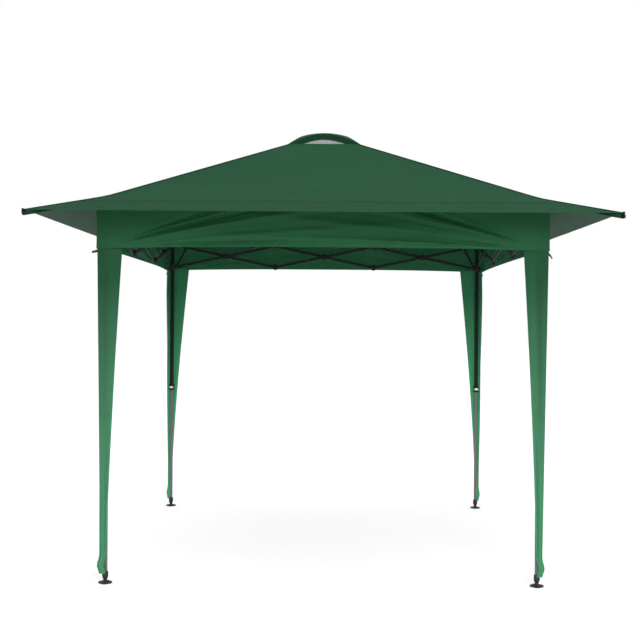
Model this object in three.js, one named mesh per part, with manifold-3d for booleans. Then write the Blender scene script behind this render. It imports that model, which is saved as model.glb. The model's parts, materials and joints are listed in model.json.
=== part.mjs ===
// A pop-up gazebo with a square eave roof, an arched vent cap and a scissor frame.
// Millimetres, +Z up. The origin is the middle of the footprint, on the ground. The front is -Y.
import * as THREE from "three";
import { ConvexGeometry } from "three/addons/geometries/ConvexGeometry.js";
import { mergeVertices } from "three/addons/utils/BufferGeometryUtils.js";
import Module from "manifold-3d";

const wasm = await Module();
wasm.setup();

const { cos, sin, tan, atan, sqrt, PI } = Math;
const DIAGONAL = sqrt(2);

// ---- driving dimensions ----

// plan, as half widths from the middle
const LEG_HALF = 1285;
const VALANCE_HALF = 1338;
const EAVE_HALF = 1670;
const ROOF_FOLD_HALF = 1292;
const VENT_HALF = 236;

// heights above the ground
const VALANCE_BOTTOM = 1990;
const EAVE_EDGE = 2184;
const ROOF_FOLD = 2305;
const VENT_EDGE = 2804;
const LEG_TOP = 2260;
const SCISSOR_TOP = 2200;
const OUTER_LEG_BOTTOM = 992;

// fabric
const FABRIC = 1;
const CURTAIN_BOTTOM = 60;
const CURTAIN_TOP_WIDTH = 150;
const REAR_CURTAIN_TOP_WIDTH = 188;
const CURTAIN_BOTTOM_WIDTH = 34;
const CURTAIN_BOTTOM_HALF = 1310;
const CURTAIN_TOP_WIDTHS = [
  [CURTAIN_TOP_WIDTH, CURTAIN_TOP_WIDTH],
  [CURTAIN_TOP_WIDTH, CURTAIN_TOP_WIDTH],
  [REAR_CURTAIN_TOP_WIDTH, CURTAIN_TOP_WIDTH],
  [CURTAIN_TOP_WIDTH, REAR_CURTAIN_TOP_WIDTH],
];
const CAP_RISE = 72;
const CAP_CROWN = 36;
const CAP_HALF = VENT_HALF + 10;
const CAP_STEPS = 8;
const VENT_MESH_DEPTH = 6;

// square leg tubes
const OUTER_TUBE = 28;
const OUTER_BORE = 26;
const INNER_TUBE = 23;
const INNER_TUBE_BORE = 21.2;
const INNER_TUBE_BOTTOM = 45;
const INNER_TUBE_TOP = 1300;
const TUBE_CHAMFER = 2.5;
const BORE_CHAMFER = 1.5;
const MOULDING_CHAMFER = 5;
const COLLAR = 38;
const COLLAR_HEIGHT = 52;
const COLLAR_DROP = 14;
const BRACKET = 37;
const BRACKET_HEIGHT = 85;
const BRACKET_ROOF = 20;
const CHEEK_HEIGHT = 40;

// sliders
const SLIDER = 40;
const SLIDER_BORE = 29.2;
const SLIDER_HEIGHT = 46;
const CATCH_PIN = 5;
const CATCH_PIN_OUT = 12;

// scissor bars: three crossings a side, flat tubes in two layers beside the lugs' plane
const CROSSINGS = 3;
const LUG_REACH = 40;
const LUG = 4;
const LUG_RADIUS = 12;
const LUG_PAST_PLANE = 0.2;
const BAR_REST = THREE.MathUtils.degToRad(12.1);
const BAR_PIVOTS = (2 * (LEG_HALF - LUG_REACH)) / (CROSSINGS * cos(BAR_REST));
const BAR_THICK = 10;
const BAR_DEPTH = 20;
const BAR_WALL = 0.8;
const BAR_END = 13;
const BAR_FROM_PLANE = 2.3;

// rafters and struts stand in the diagonal planes, side by side
const CORNER_PIVOT_REACH = 50;
const HUB_PIVOT_REACH = 40;
const RAFTER_WIDTH = 16;
const RAFTER_DEPTH = 22;
const RAFTER_WALL = 1;
const RAFTER_GAP = 0.5;
const RAFTER_DROP = 26;
const ARM_DEPTH = 18;
const ARM_DROP = 20;
const ARM_PAST_TIP = 8;
const ARM_ROOT = 14;
const ARM_SLOT = 90;
const HOOK_RISE = 26;
const STRUT_WIDTH = 12;
const STRUT_DEPTH = 16;

// hub
const HUB_RADIUS = 21;
const HUB_HALF_HEIGHT = 20;
const HUB_DOME = 40;
const HUB_CROWN = 10;
const HUB_SIDES = 12;

// rivets
const RIVET = 4;
const RIVET_HOLE = 4.6;
const RIVET_HEAD = 7;
const RIVET_ROOT = 0.6;
const HEAD_THICK = 2.2;
const GAP = 0.3;

// feet and leg buttons
const FOOT_SOCKET = 35;
const FOOT_SOCKET_BOTTOM = 30;
const FOOT_SOCKET_TOP = 70;
const FOOT_PLATE = 72;
const FOOT_PLATE_THICK = 8;
const FOOT_PLATE_CORNER = 14;
const FOOT_WAIST = 11;
const FOOT_SCREW = 4.5;
const FOOT_SIDES = 12;
const BUTTON_HEIGHT = 1003;
const BUTTON_RADIUS = 9;
const BUTTON_OUT = 7;
const BUTTON_DEPTH = 2;
const BUTTON_SIDES = 14;
const BUTTON_HEAD = 32;
const BUTTON_HEAD_HEIGHT = 16;
const BUTTON_HEAD_THICK = 2.5;

// ---- angles and lengths that follow ----

const ROOF_SLOPE = (VENT_EDGE - ROOF_FOLD) / ((ROOF_FOLD_HALF - VENT_HALF) * DIAGONAL);
const EAVE_SLOPE = (ROOF_FOLD - EAVE_EDGE) / ((EAVE_HALF - ROOF_FOLD_HALF) * DIAGONAL);
const LEG_DIAGONAL = LEG_HALF * DIAGONAL;
const SLIDER_PIVOT = SCISSOR_TOP - BAR_PIVOTS * sin(BAR_REST);
const RAFTER_REST = atan(ROOF_SLOPE);
const RAFTER_SPAN = LEG_DIAGONAL - CORNER_PIVOT_REACH - HUB_PIVOT_REACH;
const RAFTER_PIVOTS = RAFTER_SPAN / cos(RAFTER_REST) / 2;
const CORNER_PIVOT = roofOver(LEG_DIAGONAL - CORNER_PIVOT_REACH) - RAFTER_DROP;
const HUB_PIVOT = CORNER_PIVOT + RAFTER_SPAN * tan(RAFTER_REST);
// the folded frame: bars and outer rafters stop this far short of upright
const BAR_FOLDED = THREE.MathUtils.degToRad(86);
const RAFTER_FOLDED = THREE.MathUtils.degToRad(86);
const STRUT_ON_RAFTER = strutJointRadius();
const RAFTER_LAYER = RAFTER_GAP + RAFTER_WIDTH / 2;

// Height of the main roof's upper face over a point of the diagonal.
function roofOver(diagonal) {
  return ROOF_FOLD + (ROOF_FOLD_HALF * DIAGONAL - diagonal) * ROOF_SLOPE;
}

// Height of the eave's upper face over a point of the diagonal.
function eaveOver(diagonal) {
  return ROOF_FOLD - (diagonal - ROOF_FOLD_HALF * DIAGONAL) * EAVE_SLOPE;
}

// How far along the outer rafter the strut meets it, so that one strut length fits open and folded.
function strutJointRadius() {
  const riseOpen = CORNER_PIVOT - SLIDER_PIVOT;
  const riseFolded = CORNER_PIVOT - SCISSOR_TOP + BAR_PIVOTS * sin(BAR_FOLDED);
  const pull = riseFolded * sin(RAFTER_FOLDED) + riseOpen * sin(RAFTER_REST);
  return (riseFolded ** 2 - riseOpen ** 2) / (2 * pull);
}

// ---- solids ----

// A closed geometry as a manifold solid.
function solid(geometry) {
  geometry.deleteAttribute("normal");
  geometry.deleteAttribute("uv");
  const merged = mergeVertices(geometry, 1e-4);
  const mesh = new wasm.Mesh({
    numProp: 3,
    vertProperties: merged.attributes.position.array,
    triVerts: new Uint32Array(merged.index.array),
  });
  return new wasm.Manifold(mesh);
}

function join(...solids) {
  return solids.reduce((whole, next) => whole.add(next));
}

function geometryOf(shape) {
  const { vertProperties, triVerts, numProp } = shape.getMesh();
  const geometry = new THREE.BufferGeometry();
  const points = new THREE.InterleavedBuffer(vertProperties, numProp);
  geometry.setAttribute("position", new THREE.InterleavedBufferAttribute(points, 3, 0));
  geometry.setIndex(new THREE.BufferAttribute(triVerts, 1));
  const flat = geometry.toNonIndexed();
  flat.computeVertexNormals();
  return flat;
}

function box([x0, x1], [y0, y1], [z0, z1]) {
  const geometry = new THREE.BoxGeometry(x1 - x0, y1 - y0, z1 - z0);
  return solid(geometry.translate((x0 + x1) / 2, (y0 + y1) / 2, (z0 + z1) / 2));
}

function rectangle(width, height, chamfer = 0) {
  const [w, h, c] = [width / 2, height / 2, chamfer];
  const sharp = [[w, h], [-w, h], [-w, -h], [w, -h]];
  const cut = [[w - c, h], [c - w, h], [-w, h - c], [-w, c - h]];
  cut.push([c - w, -h], [w - c, -h], [w, c - h], [w, h - c]);
  const corners = chamfer ? cut : sharp;
  return new THREE.Shape(corners.map(([x, y]) => new THREE.Vector2(x, y)));
}

function extrude(shape, depth) {
  return new THREE.ExtrudeGeometry(shape, { depth, bevelEnabled: false, curveSegments: 4 });
}

// An upright square prism with chamfered edges.
function post(width, chamfer, bottom, top) {
  return solid(extrude(rectangle(width, width, chamfer), top - bottom).translate(0, 0, bottom));
}

// A cylinder along Y.
function pin(x, z, radius, y0, y1, sides = 8) {
  const geometry = new THREE.CylinderGeometry(radius, radius, y1 - y0, sides);
  return solid(geometry.translate(x, (y0 + y1) / 2, z));
}

// A hollow flat tube along X, centred on y, its ends open.
function flatTube(x0, x1, y, width, depth, wall) {
  const section = rectangle(depth, width);
  section.holes.push(rectangle(depth - 2 * wall, width - 2 * wall));
  const tube = extrude(section, x1 - x0).rotateY(PI / 2);
  return solid(tube.translate(x0, y, 0));
}

// A flat plate in XZ between y0 and y1: a tongue from x = start to a round end about its hole.
function lug(start, reach, z, y0, y1) {
  const shape = new THREE.Shape();
  shape.moveTo(start, -LUG_RADIUS);
  shape.absarc(reach, 0, LUG_RADIUS, -PI / 2, PI / 2);
  shape.lineTo(start, LUG_RADIUS);
  shape.holes.push(new THREE.Path().absarc(reach, 0, RIVET_HOLE, 0, 2 * PI));
  return solid(extrude(shape, y1 - y0).rotateX(PI / 2).translate(0, y1, z));
}

// A rivet from one tube's near face, through its neighbour, to a head past the far face.
function rivet(x, z, from, to) {
  const way = Math.sign(to - from);
  const span = (a, b) => [Math.min(a, b), Math.max(a, b)];
  const shank = pin(x, z, RIVET, ...span(from - way * RIVET_ROOT, to + way * (GAP + HEAD_THICK / 2)));
  const head = pin(x, z, RIVET_HEAD, ...span(to + way * GAP, to + way * (GAP + HEAD_THICK)));
  return join(shank, head);
}

const turned = (shape, degrees) => shape.rotate([0, 0, degrees]);

// ---- frame pieces, each in the frame of the front-left corner's leg ----

// The bracket's two side lugs, towards both neighbouring legs.
function sideLugs(body, z) {
  const one = lug(body / 2 - 3, LUG_REACH, z, -LUG / 2, LUG / 2);
  return join(one, turned(one, 90));
}

// A cheek of the corner pivot, beside the rafter, in the diagonal plane.
function cheek(y0, y1) {
  const shape = new THREE.Shape();
  shape.moveTo(0, LEG_TOP - CHEEK_HEIGHT);
  shape.lineTo(CORNER_PIVOT_REACH - LUG_RADIUS, LEG_TOP - CHEEK_HEIGHT / 2);
  shape.absarc(CORNER_PIVOT_REACH, CORNER_PIVOT, LUG_RADIUS, -PI / 10, PI * 0.72);
  shape.lineTo(0, LEG_TOP - GAP);
  const hole = new THREE.Path().absarc(CORNER_PIVOT_REACH, CORNER_PIVOT, RIVET_HOLE, 0, 2 * PI);
  shape.holes.push(hole);
  return solid(extrude(shape, y1 - y0).rotateX(PI / 2).translate(0, y1, 0));
}

function outerLeg(buttonTurn) {
  const collarBottom = OUTER_LEG_BOTTOM - COLLAR_DROP;
  const tube = post(OUTER_TUBE, TUBE_CHAMFER, OUTER_LEG_BOTTOM, LEG_TOP - BRACKET_ROOF / 2);
  const bracket = post(BRACKET, MOULDING_CHAMFER, LEG_TOP - BRACKET_HEIGHT, LEG_TOP);
  const collar = post(COLLAR, MOULDING_CHAMFER, collarBottom, collarBottom + COLLAR_HEIGHT);
  const rafterRoom = RAFTER_WIDTH + 2 * RAFTER_GAP;
  const innerCheek = cheek(0, LUG);
  const outerCheek = cheek(-rafterRoom - LUG, -rafterRoom);
  const cheeks = turned(join(innerCheek, outerCheek), 45);
  const whole = join(tube, bracket, collar, sideLugs(BRACKET, SCISSOR_TOP), cheeks);
  const bore = post(OUTER_BORE, BORE_CHAMFER, collarBottom - 1, LEG_TOP - BRACKET_ROOF);
  const buttonHole = pin(0, BUTTON_HEIGHT, BUTTON_RADIUS + GAP, -COLLAR, 1 - OUTER_BORE / 2, BUTTON_SIDES);
  return whole.subtract(bore).subtract(turned(buttonHole, buttonTurn));
}

// A sprung stem through the leg's hole, with a wide flat head to press.
function legButton(buttonTurn) {
  const face = -COLLAR / 2 - BUTTON_OUT;
  const stemEnd = BUTTON_DEPTH - COLLAR / 2;
  const stem = pin(0, BUTTON_HEIGHT, BUTTON_RADIUS, face + BUTTON_HEAD_THICK / 2, stemEnd, BUTTON_SIDES);
  const outline = rectangle(BUTTON_HEAD, BUTTON_HEAD_HEIGHT, MOULDING_CHAMFER);
  const plate = solid(extrude(outline, BUTTON_HEAD_THICK)).rotate([-90, 0, 0]);
  const head = plate.translate([0, face, BUTTON_HEIGHT]);
  return turned(join(stem, head), buttonTurn);
}

function innerLeg() {
  const tube = post(INNER_TUBE, TUBE_CHAMFER, INNER_TUBE_BOTTOM, INNER_TUBE_TOP);
  const bore = post(INNER_TUBE_BORE, BORE_CHAMFER, INNER_TUBE_BOTTOM - 1, INNER_TUBE_TOP + 1);
  return tube.subtract(bore);
}

// A rounded socket on a narrow waist, over a flared plate that is turned to face the corner.
function foot() {
  const radius = FOOT_SOCKET / 2;
  const profile = [
    [0, FOOT_PLATE_THICK - 1],
    [FOOT_WAIST + 9, FOOT_PLATE_THICK - 1],
    [FOOT_WAIST + 3, FOOT_PLATE_THICK + 3],
    [FOOT_WAIST, FOOT_SOCKET_BOTTOM - 8],
    [radius - 1, FOOT_SOCKET_BOTTOM + 2],
    [radius + 1, FOOT_SOCKET_BOTTOM + 14],
    [radius, FOOT_SOCKET_TOP],
    [0, FOOT_SOCKET_TOP],
  ];
  const points = profile.map(([r, z]) => new THREE.Vector2(r, z));
  const body = solid(new THREE.LatheGeometry(points, FOOT_SIDES).rotateX(PI / 2));
  const plate = post(FOOT_PLATE, FOOT_PLATE_CORNER, 0, FOOT_PLATE_THICK);
  const trim = post(FOOT_PLATE * 1.1, 0, -1, FOOT_PLATE_THICK + 1);
  const screw = pin(0, FOOT_SOCKET_BOTTOM + 22, FOOT_SCREW, -radius - 3, 0);
  const pocket = post(INNER_TUBE + 2 * GAP, 0, INNER_TUBE_BOTTOM - GAP, FOOT_SOCKET_TOP + 1);
  return turned(join(body, plate.intersect(turned(trim, 45)), screw), 45).subtract(pocket);
}

// A sleeve round the leg, with lugs for two scissor bars and the strut, and its catch pin.
function slider() {
  const bottom = SLIDER_PIVOT - SLIDER_HEIGHT / 2;
  const ring = post(SLIDER, MOULDING_CHAMFER, bottom, bottom + SLIDER_HEIGHT);
  const root = SLIDER_BORE / 2 + 1;
  const strutLug = turned(lug(root, CORNER_PIVOT_REACH, SLIDER_PIVOT, -LUG, LUG_PAST_PLANE), 45);
  const catchPin = pin(0, SLIDER_PIVOT, CATCH_PIN, -SLIDER / 2 - CATCH_PIN_OUT, -root);
  const whole = join(ring, sideLugs(SLIDER, SLIDER_PIVOT), strutLug, turned(catchPin, -90));
  return whole.subtract(post(SLIDER_BORE, 0, bottom - 1, bottom + SLIDER_HEIGHT + 1));
}

// A scissor bar along X. layer is -1 outside the lugs' plane and 1 inside it.
// rivets and holes are the places along the bar, as shares of the half length.
function scissorBar(layer, { throughBar = [], throughLug = [], holes = [] }) {
  const half = BAR_PIVOTS / 2;
  const middle = layer * (BAR_FROM_PLANE + BAR_THICK / 2);
  const near = layer * BAR_FROM_PLANE;
  const far = -layer * (BAR_FROM_PLANE + BAR_THICK);
  const tube = flatTube(-half - BAR_END, half + BAR_END, middle, BAR_THICK, BAR_DEPTH, BAR_WALL);
  const hole = (at) => pin(at * half, 0, RIVET_HOLE, middle - BAR_THICK, middle + BAR_THICK);
  const pierced = holes.reduce((bar, at) => bar.subtract(hole(at)), tube);
  const barRivets = throughBar.map((at) => rivet(at * half, 0, near, far));
  const lugRivets = throughLug.map((at) => rivet(at * half, 0, near, (-layer * LUG) / 2));
  return join(pierced, ...barRivets, ...lugRivets);
}

// Along the diagonal, x runs from the leg's axis towards the middle, and y is sideways.
function rafterOuter() {
  const end = RAFTER_PIVOTS + BAR_END;
  const bendAt = -(CORNER_PIVOT_REACH + (ROOF_FOLD_HALF - LEG_HALF) * DIAGONAL) / cos(RAFTER_REST);
  const inner = flatTube(bendAt, end, -RAFTER_LAYER, RAFTER_WIDTH, RAFTER_DEPTH, RAFTER_WALL);
  const knee = rivet(RAFTER_PIVOTS, 0, -RAFTER_GAP, RAFTER_GAP + RAFTER_WIDTH);
  const cheekFace = RAFTER_WIDTH + 2 * RAFTER_GAP + LUG;
  const pivot = join(
    pin(0, 0, RIVET, -cheekFace - GAP - HEAD_THICK, LUG + GAP + HEAD_THICK),
    pin(0, 0, RIVET_HEAD, LUG + GAP, LUG + GAP + HEAD_THICK),
    pin(0, 0, RIVET_HEAD, -cheekFace - GAP - HEAD_THICK, -cheekFace - GAP),
  );
  const raised = join(inner, knee, pivot).rotate([0, (-RAFTER_REST * 180) / PI, 0]);
  return join(raised.translate([CORNER_PIVOT_REACH, 0, CORNER_PIVOT]), eaveArm());
}

// Lays a solid that lies along -X under the eave's diagonal, from the roof's fold outwards.
function underEave(shape) {
  const fold = ROOF_FOLD_HALF * DIAGONAL;
  const tilted = shape.rotate([0, (-atan(EAVE_SLOPE) * 180) / PI, 0]);
  return tilted.translate([LEG_DIAGONAL - fold, 0, ROOF_FOLD - ARM_DROP]);
}

// The outer rafter goes on past the corner, bent down under the eave, to a hook at the roof's tip.
function eaveArm() {
  const foldDiagonal = ROOF_FOLD_HALF * DIAGONAL;
  const tipDiagonal = EAVE_HALF * DIAGONAL;
  const length = (tipDiagonal + ARM_PAST_TIP - foldDiagonal) / cos(atan(EAVE_SLOPE));
  const arm = flatTube(-length, ARM_ROOT, -RAFTER_LAYER, RAFTER_WIDTH, ARM_DEPTH, RAFTER_WALL);
  const placed = underEave(arm);
  const tip = LEG_DIAGONAL - tipDiagonal - ARM_PAST_TIP;
  const under = eaveOver(tipDiagonal) - ARM_DROP;
  const hookBase = box([tip - 4, tip + 6], [-RAFTER_LAYER - RAFTER_WIDTH / 2, 6], [under - 8, under + 9]);
  const hook = box([tip - 6, tip + 2], [-6, 6], [under - 4, under + HOOK_RISE]);
  return join(placed, hookBase, hook);
}

function rafterInner() {
  const end = RAFTER_PIVOTS + BAR_END;
  const tube = flatTube(-BAR_END, end, RAFTER_LAYER, RAFTER_WIDTH, RAFTER_DEPTH, RAFTER_WALL);
  const hole = pin(0, 0, RIVET_HOLE, -1, RAFTER_WIDTH + 3);
  const hubRivet = rivet(RAFTER_PIVOTS, 0, RAFTER_GAP, -LUG);
  return join(tube.subtract(hole), hubRivet);
}

function strut() {
  const [x, z] = [alongRafter(STRUT_ON_RAFTER), CORNER_PIVOT - SLIDER_PIVOT];
  const rise = z + STRUT_ON_RAFTER * sin(RAFTER_REST);
  const length = Math.hypot(x, rise);
  const middle = RAFTER_GAP + STRUT_WIDTH / 2;
  const tube = flatTube(-BAR_END, length + BAR_END, middle, STRUT_WIDTH, STRUT_DEPTH, BAR_WALL);
  const lower = rivet(0, 0, RAFTER_GAP, -LUG);
  const upper = pin(length, 0, RIVET_HOLE, middle - STRUT_WIDTH, middle + STRUT_WIDTH);
  return join(tube.subtract(upper), lower).rotate([0, (-Math.atan2(rise, x) * 180) / PI, 0]);
}

// How far inward a point of the outer rafter lies from its corner pivot.
function alongRafter(radius) {
  return radius * cos(RAFTER_REST);
}

// A block with four lugs, and a domed button on top that holds up the vent cap.
function hub() {
  const core = new THREE.CylinderGeometry(HUB_RADIUS, HUB_RADIUS, 2 * HUB_HALF_HEIGHT, HUB_SIDES);
  const oneLug = lug(HUB_RADIUS / 2, HUB_PIVOT_REACH, 0, -LUG_PAST_PLANE, LUG);
  const lugs = [45, 135, 225, 315].map((degrees) => turned(oneLug, degrees));
  const [rim, crown] = [HUB_HALF_HEIGHT - 2, HUB_HALF_HEIGHT + HUB_CROWN];
  const profile = [[0, rim], [HUB_DOME, rim], [HUB_DOME, rim + 3], [0.6 * HUB_DOME, crown - 3], [0, crown]];
  const points = profile.map(([r, z]) => new THREE.Vector2(r, z));
  const dome = solid(new THREE.LatheGeometry(points, HUB_SIDES).rotateX(PI / 2));
  return join(solid(core.rotateX(PI / 2)), dome, ...lugs).translate([0, 0, HUB_PIVOT]);
}

// ---- fabric ----

// One side's half of a leg curtain: a thin tapering strip, leaning in towards the foot.
function curtainStrip(topWidth) {
  const top = VALANCE_BOTTOM + 20;
  const strip = (z, half, width) => {
    const level = [[-half, -half], [-half + width, -half]];
    level.push([-half + width, -half + FABRIC], [-half + FABRIC, -half + FABRIC]);
    return level.map(([x, y]) => new THREE.Vector3(x, y, z));
  };
  const upper = strip(top, VALANCE_HALF + FABRIC / 2, topWidth);
  const lower = strip(CURTAIN_BOTTOM, CURTAIN_BOTTOM_HALF, CURTAIN_BOTTOM_WIDTH);
  return solid(new ConvexGeometry([...upper, ...lower]));
}

function canopy() {
  const outer = VALANCE_HALF + FABRIC / 2;
  const inner = VALANCE_HALF - FABRIC / 2;
  const soffit = (half) => ROOF_FOLD - (half - ROOF_FOLD_HALF) * EAVE_SLOPE * DIAGONAL - FABRIC;
  const profile = [[VENT_HALF, VENT_EDGE], [VENT_HALF, VENT_EDGE - FABRIC]];
  profile.push([ROOF_FOLD_HALF, ROOF_FOLD - FABRIC], [inner, soffit(inner)]);
  profile.push([inner, VALANCE_BOTTOM], [outer, VALANCE_BOTTOM], [outer, soffit(outer)]);
  profile.push([EAVE_HALF, EAVE_EDGE - FABRIC], [EAVE_HALF, EAVE_EDGE]);
  profile.push([ROOF_FOLD_HALF, ROOF_FOLD], [VENT_HALF, VENT_EDGE]);
  const points = profile.map(([half, z]) => new THREE.Vector2(half * DIAGONAL, z));
  const shell = solid(new THREE.LatheGeometry(points, 4, PI / 4).rotateX(PI / 2));
  const curtains = CURTAIN_TOP_WIDTHS.map(([first, second], corner) => {
    const strips = join(curtainStrip(first), curtainStrip(second).mirror([1, -1, 0]));
    return turned(strips, corner * 90);
  });
  const slots = CURTAIN_TOP_WIDTHS.map((_, corner) => turned(armSlot(), corner * 90));
  return slots.reduce((cloth, slot) => cloth.subtract(slot), join(shell, ...curtains));
}

// The space that an eave arm takes through the top corner of the valance.
function armSlot() {
  const across = [-RAFTER_LAYER - RAFTER_WIDTH / 2 - 1, -RAFTER_LAYER + RAFTER_WIDTH / 2 + 1];
  const tall = [-ARM_DEPTH / 2 - 2, ARM_DEPTH / 2 + 1];
  const slot = underEave(box([-ARM_SLOT, ARM_ROOT], across, tall));
  return turned(slot, 45).translate([-LEG_HALF, -LEG_HALF, 0]);
}

// Underside of the vent cap: corners low on the roof, each edge an arch, a slight crown between.
function capUnderside(x, y) {
  const across = cos((PI / 2) * Math.min(1, Math.abs(x) / CAP_HALF));
  const along = cos((PI / 2) * Math.min(1, Math.abs(y) / CAP_HALF));
  const arch = across + along - across * along;
  return VENT_EDGE + 2 + CAP_RISE * arch ** 0.8 + CAP_CROWN * across * along;
}

// The closed solid between two surfaces over a square of the given half width.
function between(half, lower, upper) {
  const steps = CAP_STEPS;
  const side = steps + 1;
  const at = (index) => ((index / steps) * 2 - 1) * half;
  const points = [];
  for (const surface of [lower, upper]) {
    for (let row = 0; row < side; row += 1) {
      for (let column = 0; column < side; column += 1) {
        points.push(at(column), at(row), surface(at(column), at(row)));
      }
    }
  }
  const faces = [];
  const quad = (a, b, c, d) => faces.push(a, b, c, a, c, d);
  const top = side * side;
  const rim = [];
  for (let step = 0; step < steps; step += 1) rim.push(step);
  for (let step = 0; step < steps; step += 1) rim.push(step * side + steps);
  for (let step = steps; step > 0; step -= 1) rim.push(steps * side + step);
  for (let step = steps; step > 0; step -= 1) rim.push(step * side);
  rim.forEach((a, place) => {
    const b = rim[(place + 1) % rim.length];
    quad(a, b, top + b, top + a);
  });
  for (let row = 0; row < steps; row += 1) {
    for (let column = 0; column < steps; column += 1) {
      const a = row * side + column;
      quad(a, a + side, a + side + 1, a + 1);
      quad(top + a, top + a + 1, top + a + side + 1, top + a + side);
    }
  }
  const geometry = new THREE.BufferGeometry();
  geometry.setAttribute("position", new THREE.Float32BufferAttribute(points, 3));
  geometry.setIndex(faces);
  return solid(geometry);
}

function ventCap() {
  const top = (x, y) => capUnderside(x, y) + FABRIC;
  return between(CAP_HALF, capUnderside, top);
}

// Netting in the four arches under the cap.
function ventMesh() {
  const [outer, inner] = [VENT_HALF - 1, VENT_HALF - 1 - FABRIC];
  const floor = VENT_EDGE - VENT_MESH_DEPTH;
  const ceiling = VENT_EDGE + 2 * CAP_RISE;
  const ring = post(2 * outer, 1, floor, ceiling).subtract(post(2 * inner, 1, floor - 5, ceiling + 5));
  const below = between(CAP_HALF, () => floor - 1, (x, y) => capUnderside(x, y) - 2 * GAP);
  return ring.intersect(below);
}

// ---- assembly ----

const gazebo = new THREE.Group();

function finish(color, roughness, metalness) {
  return () => new THREE.MeshStandardMaterial({ color, roughness, metalness });
}

const blackPaint = finish(0x1d1f21, 0.5, 0.4);
const greyPaint = finish(0x6a6c6f, 0.45, 0.5);
const blackPlastic = finish(0x17181a, 0.6, 0);
const silver = finish(0xb4b6b8, 0.35, 0.9);
const greenFabric = finish(0x2f6444, 0.85, 0);
const paleNet = finish(0x9a9f9f, 0.9, 0);

// Adds a named piece to a group, at a place in that group.
function add(group, name, shape, material, [x, y, z] = [0, 0, 0], [axis, angle] = ["z", 0]) {
  const mesh = new THREE.Mesh(geometryOf(shape), material());
  mesh.name = name;
  mesh.position.set(x, y, z);
  mesh.rotation[axis] = angle;
  group.add(mesh);
}

// Which bars carry the rivets: a crossing's is on the rising bar, an end's is on the bar nearer
// the post. The last crossing joins the one before it without through rivets.
const RISING = [
  { throughBar: [0, 1], throughLug: [-1] },
  { throughBar: [0], holes: [-1, 1] },
  { throughBar: [0], throughLug: [1], holes: [-1] },
];
const FALLING = [
  { throughBar: [1], throughLug: [-1], holes: [0] },
  { holes: [-1, 0, 1] },
  { throughLug: [1], holes: [-1, 0] },
];

function addScissors(corner, side) {
  const width = BAR_PIVOTS * cos(BAR_REST);
  const height = SCISSOR_TOP - (BAR_PIVOTS * sin(BAR_REST)) / 2;
  for (let crossing = 0; crossing < CROSSINGS; crossing += 1) {
    const place = [-LEG_HALF + LUG_REACH + (crossing + 0.5) * width, -LEG_HALF, height];
    const rising = scissorBar(-1, RISING[crossing]);
    const falling = scissorBar(1, FALLING[crossing]);
    const number = crossing + 1;
    add(corner, `scissor_${side}_rising_${number}`, rising, blackPaint, place, ["y", -BAR_REST]);
    add(corner, `scissor_${side}_falling_${number}`, falling, blackPaint, place, ["y", BAR_REST]);
  }
}

function addDiagonal(corner, leg) {
  const diagonal = new THREE.Group();
  diagonal.position.set(-LEG_HALF, -LEG_HALF, 0);
  diagonal.rotation.z = PI / 4;
  corner.add(diagonal);
  const kneeAt = CORNER_PIVOT_REACH + alongRafter(RAFTER_PIVOTS);
  const kneeHeight = CORNER_PIVOT + RAFTER_PIVOTS * sin(RAFTER_REST);
  const knee = [kneeAt, 0, kneeHeight];
  add(diagonal, `rafter_outer_${leg}`, rafterOuter(), blackPaint);
  add(diagonal, `rafter_inner_${leg}`, rafterInner(), blackPaint, knee, ["y", -RAFTER_REST]);
  add(diagonal, `strut_${leg}`, strut(), blackPaint, [CORNER_PIVOT_REACH, 0, SLIDER_PIVOT]);
}

const CORNERS = [
  ["front_left", "front"],
  ["front_right", "right"],
  ["rear_right", "rear"],
  ["rear_left", "left"],
];

CORNERS.forEach(([leg, side], quarter) => {
  const corner = new THREE.Group();
  corner.rotation.z = (quarter * PI) / 2;
  gazebo.add(corner);
  const at = [-LEG_HALF, -LEG_HALF, 0];
  const buttonTurn = quarter % 2 ? 90 : 180; // every button faces in, along the gazebo's Y
  add(corner, `outer_leg_${leg}`, outerLeg(buttonTurn), blackPaint, at);
  add(corner, `inner_leg_${leg}`, innerLeg(), greyPaint, at);
  add(corner, `foot_${leg}`, foot(), blackPlastic, at);
  add(corner, `leg_button_${leg}`, legButton(buttonTurn), silver, at);
  add(corner, `slider_${leg}`, slider(), blackPlastic, at);
  addScissors(corner, side);
  addDiagonal(corner, leg);
});

add(gazebo, "hub", hub(), blackPlastic);
add(gazebo, "canopy", canopy(), greenFabric);
add(gazebo, "vent_cap", ventCap(), greenFabric);
add(gazebo, "vent_mesh", ventMesh(), paleNet);

export default gazebo;
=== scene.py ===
# The looks of a pop-up gazebo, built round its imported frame.
# Metres, +Z up, the origin in the middle of the footprint on the ground, the front at -Y.
import json
import math

import bpy
import numpy as np
from mathutils import Matrix, Vector


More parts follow.
